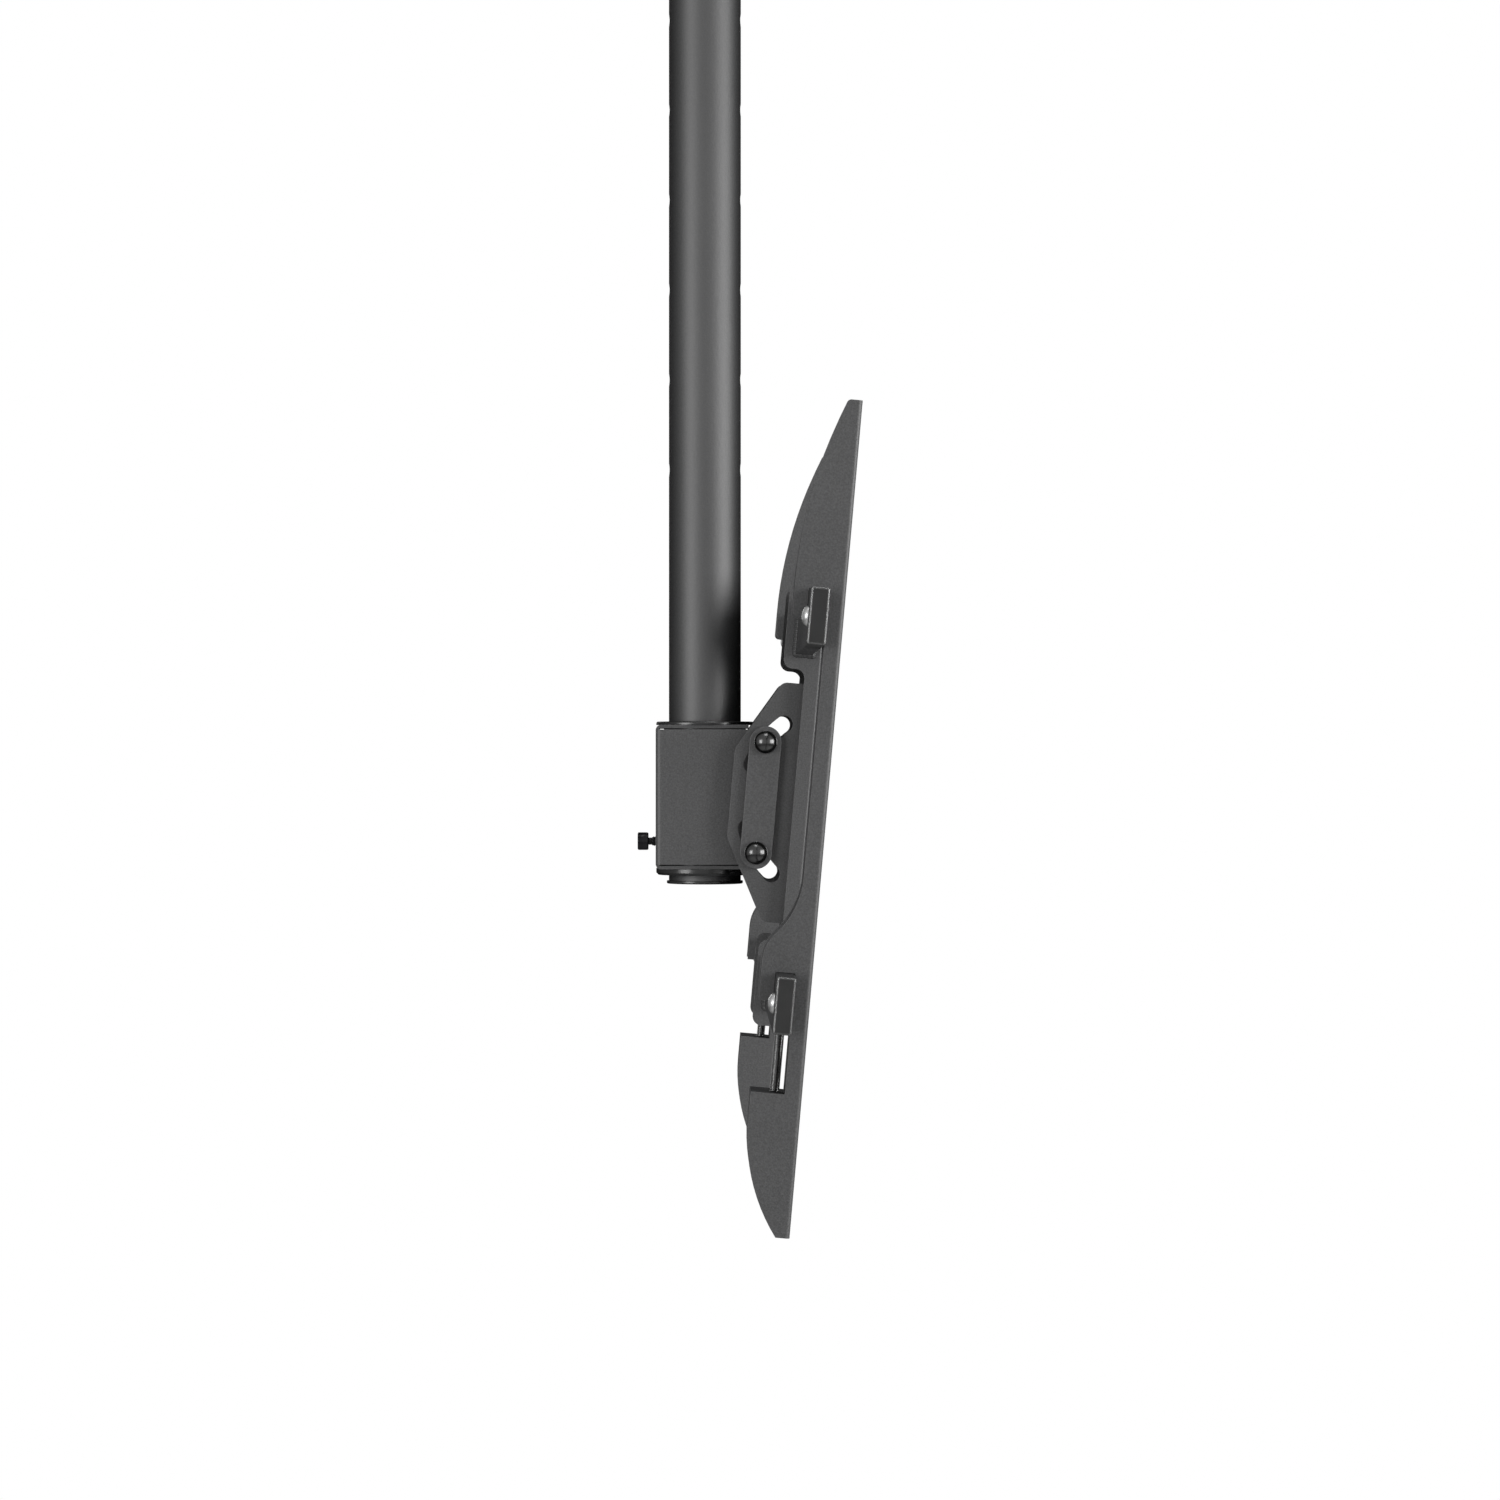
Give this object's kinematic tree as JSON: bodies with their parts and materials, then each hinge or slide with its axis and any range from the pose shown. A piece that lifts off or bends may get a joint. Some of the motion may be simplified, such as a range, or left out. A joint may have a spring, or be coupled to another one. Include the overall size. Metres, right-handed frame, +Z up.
{
  "type": "ceiling mount for a flat screen",
  "caption": "Black ceiling pole with a swivel collar, a tilting rail frame and hooked arms that carry a flat screen.",
  "frame": {"origin": "middle of the ceiling plate's top face", "axes": "+Z up, +X from the pole towards the screen, +Y into the picture, along the rails"},
  "size_m": [0.1538, 0.506, 0.9963],
  "materials": {
    "coat": "satin powder coat",
    "black_screw": "blackened, polished",
    "plastic": "matte",
    "zinc": "zinc plated"
  },
  "bodies": {
    "hanger": {"ceiling_plate": "coat", "socket_tube": "coat", "socket_bolt": "black_screw", "socket_nut": "black_screw", "pole": "coat", "carrier_pin": "zinc", "pole_end_cap": "plastic"},
    "swivel": {"collar": "coat", "upper_bush": "plastic", "lower_bush": "plastic", "set_screw": "black_screw", "tilt_link_near": "coat", "tilt_link_far": "coat", "tilt_bolts": "black_screw", "tilt_nuts": "black_screw", "tilt_spacers": "plastic"},
    "frame": {"spine": "coat", "tilt_bracket": "coat", "upper_rail": "coat", "lower_rail": "coat", "upper_rail_cap_near": "plastic", "upper_rail_cap_far": "plastic", "lower_rail_cap_near": "plastic", "lower_rail_cap_far": "plastic", "rail_stop_screws": "black_screw"},
    "near_arm": {"arm_near": "coat", "lock_nut_near": "zinc"},
    "near_lock": {"lock_screw_near": "zinc"},
    "far_arm": {"arm_far": "coat", "lock_nut_far": "zinc"},
    "far_lock": {"lock_screw_far": "zinc"}
  },
  "joints": [
    {"name": "swivel_turn", "type": "hinge", "parent": "hanger", "child": "swivel", "pos_m": [0, 0, 0], "axis": [0, 0, 1], "continuous": true},
    {"name": "frame_tilt", "type": "hinge", "parent": "swivel", "child": "frame", "pos_m": [0.07584, 0, -0.78001], "axis": [0, 1, 0], "range_deg": [-15, 15]},
    {"name": "near_arm_slide", "type": "slide", "parent": "frame", "child": "near_arm", "axis": [0, 1, 0], "range_m": [-0.012, 0.12]},
    {"name": "far_arm_slide", "type": "slide", "parent": "frame", "child": "far_arm", "axis": [0, 1, 0], "range_m": [-0.12, 0.012]},
    {"name": "near_lock_slide", "type": "slide", "parent": "near_arm", "child": "near_lock", "axis": [0.0872, 0, 0.9962], "range_m": [-0.02, 0]},
    {"name": "far_lock_slide", "type": "slide", "parent": "far_arm", "child": "far_lock", "axis": [0.0872, 0, 0.9962], "range_m": [-0.02, 0]}
  ]
}
